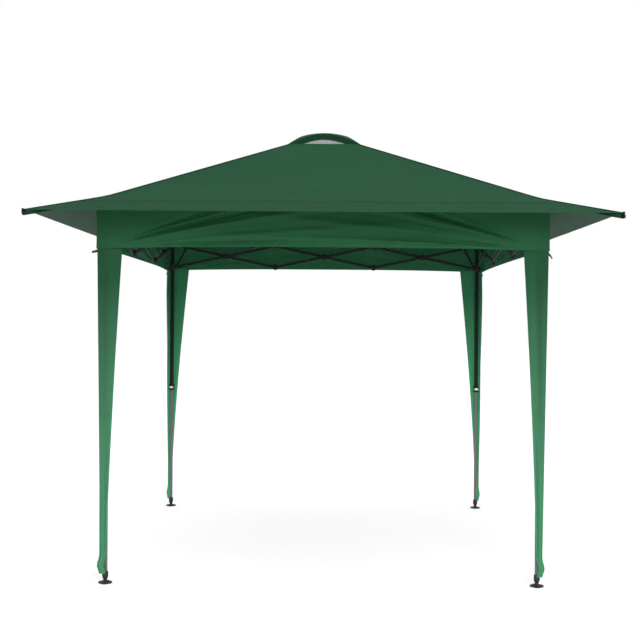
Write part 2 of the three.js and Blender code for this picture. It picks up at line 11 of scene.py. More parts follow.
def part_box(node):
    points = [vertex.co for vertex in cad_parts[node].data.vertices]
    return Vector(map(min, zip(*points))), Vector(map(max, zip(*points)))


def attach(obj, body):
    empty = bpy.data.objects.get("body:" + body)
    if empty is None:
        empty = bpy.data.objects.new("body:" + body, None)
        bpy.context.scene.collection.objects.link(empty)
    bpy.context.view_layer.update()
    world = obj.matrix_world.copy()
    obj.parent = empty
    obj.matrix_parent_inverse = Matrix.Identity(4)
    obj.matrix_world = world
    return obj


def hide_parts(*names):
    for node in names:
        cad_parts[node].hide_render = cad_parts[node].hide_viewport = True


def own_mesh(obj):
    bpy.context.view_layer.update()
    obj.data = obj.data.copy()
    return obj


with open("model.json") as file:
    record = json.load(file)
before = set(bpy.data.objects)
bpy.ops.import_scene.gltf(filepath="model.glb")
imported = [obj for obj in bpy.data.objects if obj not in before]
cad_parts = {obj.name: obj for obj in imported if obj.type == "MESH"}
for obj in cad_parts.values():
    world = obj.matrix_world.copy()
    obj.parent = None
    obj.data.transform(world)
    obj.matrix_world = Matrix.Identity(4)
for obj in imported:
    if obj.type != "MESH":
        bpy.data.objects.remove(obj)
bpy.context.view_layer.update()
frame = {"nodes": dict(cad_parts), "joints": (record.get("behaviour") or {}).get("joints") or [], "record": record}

LEGS = ["front_left", "front_right", "rear_right", "rear_left"]
SIDES = ["front", "right", "rear", "left"]
JOINTS = {joint["name"]: joint for joint in frame["joints"]}

# ---- sizes from the frame ----

canopy_low, canopy_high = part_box("canopy")
EAVE_HALF = canopy_high[0]
VENT_EDGE = canopy_high[2]
CURTAIN_BOTTOM = canopy_low[2]
KNEE_HALF = abs(JOINTS["knee_front_left"]["pos_m"][0])

# ---- sizes of the fabric, close to the CAD canopy's ----

VALANCE_HALF = 1.338
VALANCE_BOTTOM = 1.990
ROOF_FOLD_HALF = 1.292
ROOF_FOLD = 2.305
EAVE_EDGE = 2.184
VENT_HALF = 0.236
CAP_HALF = 0.246
CAP_RISE = 0.080
CAP_CROWN = 0.021
CAP_BAND = 0.046
CAP_PULL = 0.32
CAP_CORNER = 0.05
CURTAIN_TOP_WIDTH = 0.144
REAR_CURTAIN_TOP_WIDTH = 0.188
CURTAIN_BOTTOM_WIDTH = 0.031
REAR_CURTAIN_BOTTOM_WIDTH = 0.024
CURTAIN_BOTTOM_HALF = 1.310
SEAM_PAST_FOLD = 0.120

CLOTH = 0.0012
HEM = 0.018
HEM_EXTRA = 0.0016
HEM_STEP = 0.0025  # over which a hem's extra thickness fades
FINE = 0.0004  # step for slopes

ROOF_SLOPE = (VENT_EDGE - ROOF_FOLD) / (ROOF_FOLD_HALF - VENT_HALF)
EAVE_SLOPE = (ROOF_FOLD - EAVE_EDGE) / (EAVE_HALF - ROOF_FOLD_HALF)


def quarter(points, turns):
    """Points turned about the vertical by that many quarter turns."""
    cos, sin = [(1, 0), (0, 1), (-1, 0), (0, -1)][turns % 4]
    x, y, z = points[..., 0], points[..., 1], points[..., 2]
    return np.stack([cos * x - sin * y, sin * x + cos * y, z], -1)


def turned(vector, turns):
    return tuple(float(v) for v in quarter(np.array(vector, float), turns))


def smooth(x):
    """0 below 0, 1 above 1, and an even curve between."""
    t = np.clip(x, 0, 1)
    return t * t * (3 - 2 * t)


# ---- materials ----


class Nodes:
    """A material's node tree, with short ways to add and join its nodes."""

    def __init__(self, name):
        self.material = bpy.data.materials.new(name)
        self.material.use_nodes = True
        self.tree = self.material.node_tree
        self.shader = self.tree.nodes["Principled BSDF"]
        self.output = self.tree.nodes["Material Output"]

    def add(self, kind, inputs=(), **settings):
        node = self.tree.nodes.new(kind)
        for key, value in settings.items():
            setattr(node, key, value)
        for socket, value in dict(inputs).items():
            self.set(node, socket, value)
        return node

    def set(self, node, socket, value):
        if isinstance(value, bpy.types.NodeSocket):
            self.tree.links.new(value, node.inputs[socket])
        else:
            node.inputs[socket].default_value = value

    def math(self, operation, a, b=0.0, c=0.0):
        return self.add("ShaderNodeMath", {0: a, 1: b, 2: c}, operation=operation).outputs[0]

    def noise(self, vector, scale, detail=3.0, rough=0.5):
        inputs = {"Vector": vector, "Scale": scale, "Detail": detail, "Roughness": rough}
        return self.add("ShaderNodeTexNoise", inputs).outputs["Fac"]

    def ramp(self, value, low, high, to_low, to_high):
        inputs = {"Value": value, "From Min": low, "From Max": high, "To Min": to_low, "To Max": to_high}
        return self.add("ShaderNodeMapRange", inputs).outputs["Result"]

    def mix(self, factor, a, b):
        node = self.add("ShaderNodeMix", data_type="RGBA")
        self.set(node, 0, factor)
        self.set(node, 6, a)
        self.set(node, 7, b)
        return node.outputs[2]

    def bump(self, height, distance, strength=1.0, normal=None):
        node = self.add("ShaderNodeBump", {"Height": height, "Distance": distance, "Strength": strength})
        if normal is not None:
            self.set(node, "Normal", normal)
        return node.outputs["Normal"]

    def place(self):
        return self.add("ShaderNodeTexCoord").outputs["Object"]

    def uv(self, layer):
        return self.add("ShaderNodeUVMap", uv_map=layer).outputs["UV"]


def shade(colour, factor):
    return tuple(min(1.0, c * factor) for c in colour[:3]) + (1.0,)


THREAD_PITCH = 0.0016
STITCH_FROM_EDGE = HEM - 0.004
STITCH_HALF_WIDTH = 0.0007
STITCH_LENGTH = 0.0042
SEAM_HALF_WIDTH = 0.009
NET_PITCH = 0.0045
RIB_PITCH = 0.0022


def woven(name, colour, glow, through, specular=0.08, rough=0.85, crinkle=0.35, fade_and_painted_floor_light=None, seam=None):
    """Coated woven polyester: a fine weave, soft crinkles, stitches along its hems and light through it.
    The fade, as (start, end, share), lets more light through further down the sheet, and there mixes the colour
    towards a pale copy of the glow: painted light from the floor below.
    seam is how far down the sheet a sewn line lies, with slightly darker cloth beyond it."""
    n = Nodes(name)
    place = n.place()
    parts = n.add("ShaderNodeSeparateXYZ", {0: n.uv("cloth")})
    threads = 2 * math.pi / THREAD_PITCH
    warp = n.math("SINE", n.math("MULTIPLY", parts.outputs[0], threads))
    weft = n.math("SINE", n.math("MULTIPLY", parts.outputs[1], threads))
    weave = n.math("MULTIPLY", warp, weft)
    edge = n.add("ShaderNodeSeparateXYZ", {0: n.uv("hem")})
    from_line = n.math("ABSOLUTE", n.math("SUBTRACT", edge.outputs[1], STITCH_FROM_EDGE))
    line = n.math("LESS_THAN", from_line, STITCH_HALF_WIDTH)
    beat = n.math("SINE", n.math("MULTIPLY", edge.outputs[0], 2 * math.pi / STITCH_LENGTH))
    dash = n.math("GREATER_THAN", beat, -0.4)
    stitch = n.math("MULTIPLY", line, dash)
    patches = n.noise(place, 1.7, 3.0, 0.55)
    streaks = n.noise(place, 26.0, 5.0, 0.6)
    base = n.mix(n.ramp(patches, 0.3, 0.7, 0.0, 1.0), shade(colour, 0.93), shade(colour, 1.07))
    worn = n.mix(n.ramp(streaks, 0.35, 0.75, 0.0, 0.22), base, shade(colour, 1.25))
    cloth = n.mix(n.ramp(weave, -1.0, 1.0, 0.0, 0.16), worn, shade(colour, 0.6))
    if seam:
        beyond = n.ramp(parts.outputs[1], seam - 0.002, seam + 0.002, 0.0, 0.13)
        from_seam = n.math("ABSOLUTE", n.math("SUBTRACT", parts.outputs[1], seam))
        on_seam = n.math("LESS_THAN", from_seam, SEAM_HALF_WIDTH)
        cloth = n.mix(n.math("MAXIMUM", beyond, n.math("MULTIPLY", on_seam, 0.85)), cloth, shade(colour, 0.3))
    if fade_and_painted_floor_light:
        start, end, most = fade_and_painted_floor_light
        down = n.ramp(parts.outputs[1], start, end, 0.0, 1.0)
        # painted light: further down the sheet the colour is mixed towards a pale copy of the glow, standing in
        # for light from the floor
        cloth = n.mix(n.math("MULTIPLY", down, 0.85), cloth, shade(glow, 0.35))
        through = n.ramp(parts.outputs[1], start, end, through, most)
    sewn = n.mix(n.math("MULTIPLY", stitch, 0.5), cloth, shade(colour, 1.7))
    n.set(n.shader, "Base Color", sewn)
    n.set(n.shader, "Roughness", n.ramp(streaks, 0.3, 0.7, rough - 0.06, rough + 0.08))
    n.set(n.shader, "Specular IOR Level", specular)
    soft = n.bump(n.noise(place, 9.0, 4.0, 0.55), 0.012, crinkle)
    fine = n.bump(n.noise(place, 60.0, 3.0, 0.5), 0.0014, 0.5, soft)
    grain = n.bump(n.math("ADD", weave, n.math("MULTIPLY", stitch, 3.0)), 0.00018, 0.8, fine)
    n.set(n.shader, "Normal", grain)
    light = n.add("ShaderNodeBsdfTranslucent", {"Color": shade(glow, 1.0), "Normal": grain})
    both = n.add("ShaderNodeMixShader", {0: through, 1: n.shader.outputs[0], 2: light.outputs[0]})
    n.set(n.output, "Surface", both.outputs[0])
    return n.material


def netting(name, colour):
    """Knitted net: round threads in a square mesh, with holes between them."""
    n = Nodes(name)
    parts = n.add("ShaderNodeSeparateXYZ", {0: n.uv("cloth")})
    threads = 2 * math.pi / NET_PITCH
    warp = n.math("COSINE", n.math("MULTIPLY", parts.outputs[0], threads))
    weft = n.math("COSINE", n.math("MULTIPLY", parts.outputs[1], threads))
    strand = n.math("MAXIMUM", warp, weft)
    n.set(n.shader, "Alpha", n.ramp(strand, 0.0, 0.35, 0.0, 1.0))
    patches = n.noise(n.place(), 40.0)
    worn = n.ramp(patches, 0.3, 0.7, 0.0, 1.0)
    n.set(n.shader, "Base Color", n.mix(worn, shade(colour, 0.9), shade(colour, 1.1)))
    n.set(n.shader, "Roughness", n.ramp(patches, 0.3, 0.7, 0.6, 0.8))
    n.set(n.shader, "Normal", n.bump(strand, 0.0006, 0.7))
    return n.material


def paint(name, colour, rough, metallic=0.0, peel=0.00012, specular=0.5):
    """Powder coat on steel: orange peel, faint rubbed patches and fine scratches."""
    n = Nodes(name)
    place = n.place()
    peel_noise = n.noise(place, 700.0, 2.0)
    rubbed = n.noise(place, 18.0, 6.0, 0.7)
    stretched = n.add("ShaderNodeMapping", {"Vector": place, "Scale": (30.0, 30.0, 900.0)}).outputs[0]
    scratches = n.ramp(n.noise(stretched, 1.0, 2.0), 0.62, 0.72, 0.0, 1.0)
    worn = n.mix(n.ramp(rubbed, 0.45, 0.8, 0.0, 0.5), shade(colour, 0.9), shade(colour, 1.9))
    n.set(n.shader, "Base Color", n.mix(n.math("MULTIPLY", scratches, 0.2), worn, shade(colour, 3.0)))
    n.set(n.shader, "Roughness", n.ramp(rubbed, 0.3, 0.8, rough - 0.08, rough + 0.14))
    n.set(n.shader, "Metallic", metallic)
    n.set(n.shader, "Specular IOR Level", specular)
    height = n.math("ADD", peel_noise, n.math("MULTIPLY", scratches, -0.5))
    n.set(n.shader, "Normal", n.bump(height, peel, 0.6))
    return n.material


def moulded(name, colour, rough=0.55):
    """Moulded plastic: an even spark-eroded grain, and patches of dust."""
    n = Nodes(name)
    place = n.place()
    grain = n.noise(place, 1500.0, 2.0)
    dust = n.noise(place, 45.0, 5.0, 0.65)
    dusty = n.ramp(dust, 0.5, 0.85, 0.0, 0.6)
    n.set(n.shader, "Base Color", n.mix(dusty, shade(colour, 1.0), shade(colour, 2.6)))
    n.set(n.shader, "Roughness", n.ramp(dust, 0.3, 0.8, rough - 0.05, rough + 0.2))
    n.set(n.shader, "Normal", n.bump(grain, 0.00008, 0.7))
    return n.material


def steel(name, colour, rough=0.3):
    """Turned or pressed steel, with fine brushing."""
    n = Nodes(name)
    place = n.place()
    stretched = n.add("ShaderNodeMapping", {"Vector": place, "Scale": (60.0, 60.0, 2500.0)}).outputs[0]
    brushed = n.noise(stretched, 1.0, 3.0)
    stains = n.noise(place, 90.0, 4.0)
    stained = n.ramp(stains, 0.4, 0.8, 0.0, 0.6)
    n.set(n.shader, "Base Color", n.mix(stained, shade(colour, 1.0), shade(colour, 0.6)))
    n.set(n.shader, "Metallic", 1.0)
    n.set(n.shader, "Roughness", n.ramp(brushed, 0.2, 0.8, rough - 0.08, rough + 0.15))
    n.set(n.shader, "Normal", n.bump(brushed, 0.00006, 0.6))
    return n.material


def webbing(name, colour):
    """Woven strap: ribs across it."""
    n = Nodes(name)
    parts = n.add("ShaderNodeSeparateXYZ", {0: n.uv("cloth")})
    ribs = n.math("SINE", n.math("MULTIPLY", parts.outputs[1], 2 * math.pi / RIB_PITCH))
    speck = n.noise(n.place(), 300.0)
    specked = n.ramp(speck, 0.3, 0.7, 0.0, 1.0)
    n.set(n.shader, "Base Color", n.mix(specked, shade(colour, 0.8), shade(colour, 1.4)))
    n.set(n.shader, "Roughness", n.ramp(ribs, -1.0, 1.0, 0.7, 0.85))
    n.set(n.shader, "Normal", n.bump(ribs, 0.0004, 0.8))
    return n.material


ROOF_GREEN = (0.0150, 0.072, 0.0330)
SIDE_GREEN = (0.0165, 0.078, 0.0340)
CURTAIN_GREEN = (0.0150, 0.060, 0.0280)
SOFFIT_GREEN = (0.032, 0.070, 0.046)
INSIDE_GREEN = (0.022, 0.078, 0.042)
GLOW_GREEN = (0.34, 0.90, 0.58)
SEAM_DOWN = (ROOF_FOLD_HALF - KNEE_HALF) * math.hypot(1, ROOF_SLOPE) + SEAM_PAST_FOLD

ROOF = woven("roof_fabric", ROOF_GREEN, GLOW_GREEN, 0.05)
EAVE = woven("eave_fabric", ROOF_GREEN, GLOW_GREEN, 0.05, seam=SEAM_DOWN)
SOFFIT = woven("soffit_fabric", SOFFIT_GREEN, GLOW_GREEN, 0.10, rough=0.75)
SIDE = woven("side_fabric", SIDE_GREEN, GLOW_GREEN, 0.12)
INSIDE = woven("inside_fabric", INSIDE_GREEN, GLOW_GREEN, 0.34, rough=0.75)
# the curtains' fade pales their colour further down: painted light from the floor
CURTAIN = woven("curtain_fabric", CURTAIN_GREEN, GLOW_GREEN, 0.14, fade_and_painted_floor_light=(0.2, 1.75, 0.55))
# painted light: the curtains' inner faces get the inside green at 1.8 times its brightness, standing in for light
# coming through the fabric from behind
PAINTED_LIT_INSIDE_GREEN = shade(INSIDE_GREEN, 1.8)
CURTAIN_INSIDE = woven("curtain_inside_fabric", PAINTED_LIT_INSIDE_GREEN, GLOW_GREEN, 0.46, fade_and_painted_floor_light=(0.2, 1.75, 0.62))
# painted shade: the cap's band is the roof green at half brightness, standing in for the shade the band hangs in
PAINTED_SHADE_BAND = woven("cap_band_painted_shade_fabric", shade(ROOF_GREEN, 0.5), GLOW_GREEN, 0.02)
BINDING = woven("binding_fabric", shade(ROOF_GREEN, 0.5), GLOW_GREEN, 0.0)
POCKET = woven("pocket_fabric", shade(SOFFIT_GREEN, 0.6), GLOW_GREEN, 0.0)
NET = netting("vent_netting", (0.40, 0.43, 0.42))
STRAP = webbing("strap_webbing", (0.010, 0.011, 0.011))
SLOT_LOOKS = {
    "frame_paint": paint("frame_paint_look", (0.0080, 0.0100, 0.0088), 0.6, peel=0.0001, specular=0.15),
    "leg_grey": paint("leg_grey_look", (0.105, 0.110, 0.120), 0.42, metallic=0.25),
    "foot_plastic": moulded("foot_plastic_look", (0.0055, 0.0057, 0.0060), 0.6),
    "button_steel": steel("button_steel_look", (0.55, 0.56, 0.57)),
    "bracket_plastic": moulded("bracket_plastic_look", (0.0080, 0.0083, 0.0085), 0.5),
}


# ---- sheets ----


def stations(start, end, spacing, hem_start=False, hem_end=False):
    """Places from start to end about spacing apart, with extra ones where a hem begins."""
    count = max(2, round(abs(end - start) / spacing))
    places = list(np.linspace(start, end, count + 1))
    way = math.copysign(1, end - start)
    if hem_start:
        places += [start + way * HEM, start + way * (HEM + HEM_STEP)]
    if hem_end:
        places += [end - way * HEM, end - way * (HEM + HEM_STEP)]
    return np.array(sorted(set(round(p, 6) for p in places), reverse=way < 0))


def lengths_along(points, axis):
    """How far each grid point lies along its row or column, in metres."""
    steps = np.linalg.norm(np.diff(points, axis=axis), axis=-1)
    start = np.zeros_like(np.take(steps, [0], axis=axis))
    return np.concatenate([start, np.cumsum(steps, axis=axis)], axis=axis)


def hem_lines(down, across, hems):
    """How far each grid point is from the nearest hemmed edge, and how far along that edge it lies."""
    edges = {"a0": (down, across), "a1": (down[-1:] - down, across)}
    edges.update({"b0": (across, down), "b1": (across[:, -1:] - across, down)})
    hem_place, hem_along = np.full(down.shape, 1.0), across
    for edge in hems:
        distance, along = edges[edge]
        nearer = distance < hem_place
        hem_place = np.where(nearer, distance, hem_place)
        hem_along = np.where(nearer, along, hem_along)
    return hem_place, hem_along


def closed_faces(vertices, normals):
    """The outer faces, the inner faces and the rim that join two grids of points into a closed sheet."""
    rows, columns = normals.shape[:2]
    count = rows * columns
    index = np.arange(count).reshape(rows, columns)
    quads = np.stack([index[:-1, :-1], index[:-1, 1:], index[1:, 1:], index[1:, :-1]], -1).reshape(-1, 4)
    loop = np.concatenate([index[0], index[1:, -1], index[-1, -2::-1], index[-2:0:-1, 0]])
    one = vertices[quads[0]]
    facing = np.cross(one[1] - one[0], one[2] - one[0]) @ normals[0, 0]
    if facing < 0:
        quads, loop = quads[:, ::-1], loop[::-1]
    after = np.roll(loop, -1)
    rim = np.stack([after, loop, loop + count, after + count], -1)
    return quads, quads[:, ::-1] + count, rim


def shell(name, surface, a, b, outward, looks, hems=(), cloth=CLOTH, hem_extra=HEM_EXTRA, level=False):
    """A closed thin sheet over a grid. surface(a, b) gives points; hems names the grid's hemmed edges:
    a0, a1, b0 or b1. looks are the outer and the inner material. A level sheet's seams and hems run
    along its rows, however its columns spread."""
    a_grid, b_grid = np.meshgrid(a, b, indexing="ij")
    points = surface(a_grid, b_grid)
    along_a = surface(a_grid + FINE, b_grid) - surface(a_grid - FINE, b_grid)
    along_b = surface(a_grid, b_grid + FINE) - surface(a_grid, b_grid - FINE)
    normals = np.cross(along_a, along_b)
    normals /= np.linalg.norm(normals, axis=-1, keepdims=True)
    if np.sum(normals.mean(axis=(0, 1)) * np.array(outward)) < 0:
        normals = -normals

    down, across = lengths_along(points, 0), lengths_along(points, 1)
    if level:
        down = np.repeat(down[:, :1], down.shape[1], axis=1)
    hem_place, hem_along = hem_lines(down, across, hems)
    thick = cloth + hem_extra * (1 - smooth((hem_place - HEM) / HEM_STEP)) * (len(hems) > 0)
    half = normals * thick[..., None] / 2
    vertices = np.concatenate([(points + half).reshape(-1, 3), (points - half).reshape(-1, 3)])
    outer, inner, rim = closed_faces(vertices, normals)
    faces = np.concatenate([outer, inner, rim])

    mesh = bpy.data.meshes.new(name)
    mesh.from_pydata(vertices.tolist(), [], faces.tolist())
    flat_normals = normals.reshape(-1, 3)
    corners = np.concatenate([flat_normals, -flat_normals])[faces]
    rim_points = vertices[rim]
    rim_normals = np.cross(rim_points[:, 1] - rim_points[:, 0], rim_points[:, 3] - rim_points[:, 0])
    rim_normals /= np.maximum(np.linalg.norm(rim_normals, axis=-1, keepdims=True), 1e-12)
    corners[-len(rim):] = rim_normals[:, None, :]
    mesh.polygons.foreach_set("use_smooth", np.ones(len(faces), bool))
    mesh.normals_split_custom_set(corners.reshape(-1, 3).tolist())
    for layer, first, second in (("cloth", across, down), ("hem", hem_along, hem_place)):
        flat = np.stack([first, second], -1).reshape(-1, 2)
        values = np.concatenate([flat, flat])[faces].reshape(-1)
        mesh.uv_layers.new(name=layer).data.foreach_set("uv", values.astype(np.float32))
    for look in looks:
        mesh.materials.append(look)
    which_look = np.zeros(len(faces), np.int32)
    which_look[len(outer):2 * len(outer)] = 1
    mesh.polygons.foreach_set("material_index", which_look)
    mesh.update()
    piece = bpy.data.objects.new(name, mesh)
    bpy.context.collection.objects.link(piece)
    return piece


# ---- the roof ----

FOLD_SOFT = 0.016
ROOF_SAG = 0.030
EDGE_SAG = 0.0015
EDGE_REACH = 0.15  # how far inside the fold the eave's stiffness is felt
CRUMPLE = 0.0012
CALM_AT_EAVE = 0.93
PANEL_SPACING = 0.022
PANEL_COLUMNS = 37
rng = np.random.default_rng(41)
WAVES = [(rng.uniform(4, 15), rng.uniform(4, 15), rng.uniform(0, 6.28)) for _ in range(6)]


def roof_height(h, u):
    """Height of the roof where it is h out from the middle and u along its side."""
    past = h - ROOF_FOLD_HALF
    bend = FOLD_SOFT * np.logaddexp(0, past / FOLD_SOFT)
    taut = ROOF_FOLD - ROOF_SLOPE * past + (ROOF_SLOPE - EAVE_SLOPE) * bend
    between = 1 - (u / h) ** 2
    main = np.sin(np.pi * np.clip((h - VENT_HALF) / (ROOF_FOLD_HALF - VENT_HALF), 0, 1)) ** 2
    edge = smooth((h - ROOF_FOLD_HALF + EDGE_REACH) / (EAVE_HALF - ROOF_FOLD_HALF + EDGE_REACH))
    waves = sum(np.sin(p * h + q * u + r) for p, q, r in WAVES)
    calm = smooth((h - VENT_HALF) / 0.2) * (1 - CALM_AT_EAVE * edge)
    waves_there = CRUMPLE * waves * calm
    return taut - between * (ROOF_SAG * main + EDGE_SAG * edge + waves_there)


def half_panel(side, hand, name, body, h_from, h_to, hems):
    """Half of one side's panel, from the middle of the side to the hip, riding on a rafter."""

    def surface(h, share):
        u = hand * share * h
        return quarter(np.stack([u, -h, roof_height(h, u)], -1), side)

    h = stations(h_from, h_to, PANEL_SPACING, hem_end="a1" in hems, hem_start="a0" in hems)
    share = np.linspace(0, 1, PANEL_COLUMNS)
    looks = (EAVE if h_to > ROOF_FOLD_HALF else ROOF, SOFFIT)
    piece = shell(name, surface, h, share, turned((0, -0.4, 1), side), looks, hems, level=True)
    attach(piece, body)
    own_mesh(piece)
    slant = math.hypot(1, ROOF_SLOPE) * (min(h_to, ROOF_FOLD_HALF) - h_from)
    slant += math.hypot(1, EAVE_SLOPE) * max(0.0, h_to - ROOF_FOLD_HALF)
    return piece


TAPE_WIDTH = 0.013
TAPE_RISE = 0.0016
TAPE_CROWN = 0.0012
TAPE_THICK = 0.0018


def hip_tape(corner, name, body, h_from, h_to):
    """The folded tape sewn over a hip's seam."""

    def surface(h, s):
        x = np.where(s > 0, -h + s * TAPE_WIDTH, -h)
        y = np.where(s > 0, -h, -h - s * TAPE_WIDTH)
        out = np.where(s > 0, -y, -x)
        u = np.where(s > 0, x, y)
        rounded = TAPE_RISE + TAPE_CROWN * (1 - s ** 2)
        return quarter(np.stack([x, y, roof_height(out, u) + rounded], -1), corner)

    rows = stations(h_from, h_to, 0.03)
    columns = np.array([-1, -0.9, -0.6, -0.25, 0, 0.25, 0.6, 0.9, 1])
    piece = shell(name, surface, rows, columns, (0, 0, 1), (BINDING, BINDING), cloth=TAPE_THICK)
    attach(piece, body)
    return piece


POCKET_LENGTH = 0.055
POCKET_PAST_EAVE = 0.002
POCKET_HALF_WIDTH = 0.0205
POCKET_HALF_DEPTH = 0.0178
POCKET_CLOSING = 0.25  # how much narrower it is at the tip
POCKET_SQUARENESS = 0.6  # 1 is an ellipse, less is squarer


def corner_pocket(corner, leg):
    """The pocket sewn under the eave's corner, over the end of the rafter."""
    start, end = EAVE_HALF - POCKET_LENGTH, EAVE_HALF + POCKET_PAST_EAVE

    def surface(h, turn):
        closing = 1 - POCKET_CLOSING * smooth((h - start) / (end - start))
        side, up = np.cos(turn), np.sin(turn)
        side = np.sign(side) * np.abs(side) ** POCKET_SQUARENESS
        up = np.sign(up) * np.abs(up) ** POCKET_SQUARENESS
        deep = POCKET_HALF_DEPTH * (1 - 0.08 * (1 - closing))
        off = POCKET_HALF_WIDTH * closing * side / math.sqrt(2)
        z = roof_height(h, h) + 0.003 - deep + deep * up
        return quarter(np.stack([-h + off, -h - off, z], -1), corner)

    turns = np.linspace(0, 2 * math.pi, 25)
    along = np.linspace(start, end, 9)
    piece = shell(f"corner_pocket_{leg}", surface, along, turns, (0, 0, 0), (POCKET, BINDING))
    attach(piece, f"rafter_outer_{leg}")
    return piece


canopy_pieces = []
for corner, leg in enumerate(LEGS):
    corner_pocket(corner, leg)
    outer, inner = f"rafter_outer_{leg}", f"rafter_inner_{leg}"
    hip_tape(corner, f"hip_tape_outer_{leg}", outer, KNEE_HALF, EAVE_HALF)
    hip_tape(corner, f"hip_tape_inner_{leg}", inner, VENT_HALF, KNEE_HALF)
    for side, hand in ((corner, -1), ((corner - 1) % 4, 1)):
        label = f"{SIDES[side]}_{'left' if hand < 0 else 'right'}"
        canopy_pieces.append(
            half_panel(side, hand, f"roof_outer_{label}", outer, KNEE_HALF, EAVE_HALF, ("a1",)))
        canopy_pieces.append(
            half_panel(side, hand, f"roof_inner_{label}", inner, VENT_HALF, KNEE_HALF, ("a0",)))


# ---- the valance ----

BOTTOM_RISE = 0.016
FOLD_RAYS = 66  # how closely the ridges fan out
BELLY = 0.010
VALANCE_SPACING = 0.0078
VALANCE_COLUMNS = 281
FOLD_DEPTH = {"front": 0.0150, "right": 0.0130, "rear": 0.0030, "left": 0.0130}


def valance_folds(x, up, seed):
    """Soft ridges that fan out from each lower corner, up towards the middle of the side."""
    pick = np.random.default_rng(seed)
    total = np.zeros_like(x)
    for hand in (-1, 1):
        reach = VALANCE_HALF - hand * x
        angle = np.arctan2(up + 0.004, reach + 0.02)
        drift = pick.uniform(0.5, 1.0) * np.sin(2.3 * reach + pick.uniform(0, 6.28))
        phase = FOLD_RAYS * angle + drift + pick.uniform(0, 6.28)
        ridge = np.sin(phase) + 0.25 * smooth((reach - 0.3) / 0.4) * np.sin(2.3 * phase + 1.0)
        steep = 1 - smooth((angle - 0.26) / 0.16)
        strength = 0.7 + 0.5 * np.sin(31 * angle + pick.uniform(0, 6.28))
        total += ridge * strength * smooth((reach - 0.09) / 0.32) * (1 - smooth((reach - 1.25) / 0.9)) * steep
    ends = smooth((VALANCE_HALF - np.abs(x)) / 0.12)
    belly = BELLY * smooth(up / 0.1) * (1 - smooth((up - 0.12) / 0.2)) * ends
    calm_hem = 0.25 + 0.75 * smooth((up - 0.012) / 0.03)
    return total * ends * calm_hem, belly


def valance(side):
    """One side's valance, riding on its first leg."""

    def surface(drop, x):
        share = x / VALANCE_HALF
        top = roof_height(VALANCE_HALF, x) - 0.004
        bottom = VALANCE_BOTTOM + BOTTOM_RISE * (1 - np.abs(share) ** 3)
        z = top + (bottom - top) * drop
        folds, belly = valance_folds(x, z - VALANCE_BOTTOM, 100 + side)
        out = VALANCE_HALF + FOLD_DEPTH[SIDES[side]] * folds + belly
        return quarter(np.stack([x, -out, z], -1), side)

    height = ROOF_FOLD - VALANCE_BOTTOM
    drop = stations(0, height, VALANCE_SPACING, hem_end=True) / height
    x = np.linspace(-VALANCE_HALF, VALANCE_HALF, VALANCE_COLUMNS)
    name = f"valance_{SIDES[side]}"
    piece = shell(name, surface, drop, x, turned((0, -1, 0), side), (SIDE, INSIDE), ("a1",))
    leg = LEGS[side]
    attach(piece, f"leg_{leg}")
    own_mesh(piece)
    return piece


canopy_pieces += [valance(side) for side in range(4)]


# ---- the leg curtains ----

CURTAIN_TOP = VALANCE_BOTTOM + 0.022
CURTAIN_SET_BACK = 0.004
CURTAIN_CURL = 0.17
PLAIN_WING = (CURTAIN_TOP_WIDTH, CURTAIN_BOTTOM_WIDTH, 1.25)  # top width, bottom width, taper
REAR_WING = (REAR_CURTAIN_TOP_WIDTH, REAR_CURTAIN_BOTTOM_WIDTH, 1.4)
CURTAIN_WINGS = [
    (PLAIN_WING, PLAIN_WING),
    (PLAIN_WING, PLAIN_WING),
    (REAR_WING, PLAIN_WING),
    (PLAIN_WING, REAR_WING),
]
BULGE = 0.013  # how far a curtain swells where it is gathered near its foot
BULGE_HEIGHT = 0.112
BULGE_SPREAD = 0.035
RIPPLE = 0.0042
CURTAIN_HEM_EXTRA = 0.0009


def curtain(corner):
    """One leg's curtain: a wing along each side, meeting at the corner. It rides on its leg."""
    phases = np.random.default_rng(300 + corner).uniform(0, 6.28, 2)
    wings = CURTAIN_WINGS[corner]

    def surface(z, s):
        rise = np.clip((z - CURTAIN_BOTTOM) / (CURTAIN_TOP - CURTAIN_BOTTOM), 0, 1)
        first, second = (low + (high - low) * rise ** taper for high, low, taper in wings)
        width = np.where(s > 0, first, second)
        half = CURTAIN_BOTTOM_HALF + (VALANCE_HALF - CURTAIN_SET_BACK - CURTAIN_BOTTOM_HALF) * rise
        half = half + BULGE * np.exp(-((z - BULGE_HEIGHT) / BULGE_SPREAD) ** 2)
        side = np.where(s > 0, 0, 2)
        ripple = np.sin(7.0 * np.abs(s) + 1.9 * z + phases[0] + side)
        ripple = ripple + 0.5 * np.sin(12.0 * np.abs(s) - 3.1 * z + phases[1] + side)
        fold = RIPPLE * ripple * smooth(np.abs(s) / 0.25) * smooth((CURTAIN_TOP - z) / 0.25)
        inward = np.abs(s) * width
        off = half + fold - CURTAIN_CURL * width * s ** 2
        x = np.where(s > 0, -half + inward, -off)
        y = np.where(s > 0, -off, -half + inward)
        return quarter(np.stack([x, y, z], -1), corner)

    z = stations(CURTAIN_TOP, CURTAIN_BOTTOM, 0.022, hem_end=True)
    s = np.array(sorted(set(np.round(np.linspace(-1, 1, 33), 5))))
    leg = LEGS[corner]
    piece = shell(f"leg_curtain_{leg}", surface, z, s, turned((-1, -1, 0), corner),
                  (CURTAIN, CURTAIN_INSIDE), ("a1", "b0", "b1"), hem_extra=CURTAIN_HEM_EXTRA)
    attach(piece, f"leg_{leg}")
    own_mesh(piece)
    return piece


canopy_pieces += [curtain(corner) for corner in range(4)]
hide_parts("canopy")


# ---- the vent cap ----


